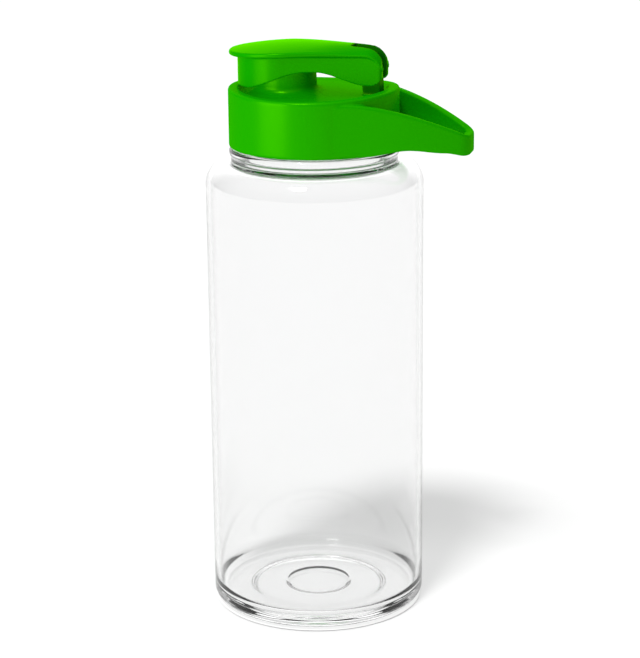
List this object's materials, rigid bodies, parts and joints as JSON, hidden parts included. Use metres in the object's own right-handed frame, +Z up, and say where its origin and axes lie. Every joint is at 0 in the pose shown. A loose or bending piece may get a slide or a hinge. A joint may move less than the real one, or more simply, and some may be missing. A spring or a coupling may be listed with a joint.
{
  "type": "kids water bottle",
  "caption": "Clear plastic drinking bottle with a screw lid that carries a spout, a hinged flip cap and a moulded carry loop.",
  "frame": {"origin": "on the bottle's axis, 0.9 mm below the flat middle of its underside, in the plane that it stands on", "axes": "+Z up along the bottle's axis; +X towards the carry loop and the cap's hinge; +Y completes the right-handed frame"},
  "size_m": [0.0924, 0.075, 0.199],
  "materials": {
    "clear_copolyester": "clear, polished",
    "green_polypropylene": "satin gloss",
    "green_flip_cap": "satin gloss",
    "silicone": "matte",
    "seal_silicone": "matte",
    "stainless_pin": "brushed"
  },
  "bodies": {
    "bottle": {"bottle": "clear_copolyester"},
    "gasket": {"lid_gasket": "silicone"},
    "lid": {"lid": "green_polypropylene", "hinge_pin": "stainless_pin"},
    "cap": {"flip_cap": "green_flip_cap", "spout_seal": "seal_silicone"}
  },
  "joints": [
    {"name": "lid_rise", "type": "slide", "parent": "bottle", "child": "gasket", "axis": [0, 0, 1], "range_m": [0, 0.015]},
    {"name": "lid_turn", "type": "hinge", "parent": "gasket", "child": "lid", "pos_m": [0, 0, 0.17], "axis": [0, 0, 1], "range_deg": [0, 1081]},
    {"name": "cap_hinge", "type": "hinge", "parent": "lid", "child": "cap", "pos_m": [0.0203, 0, 0.1923], "axis": [0, 1, 0], "range_deg": [0, 165]}
  ],
  "couplings": [
    {"joint": "lid_turn", "follows": "lid_rise", "rad_per_m": 1256.6}
  ]
}
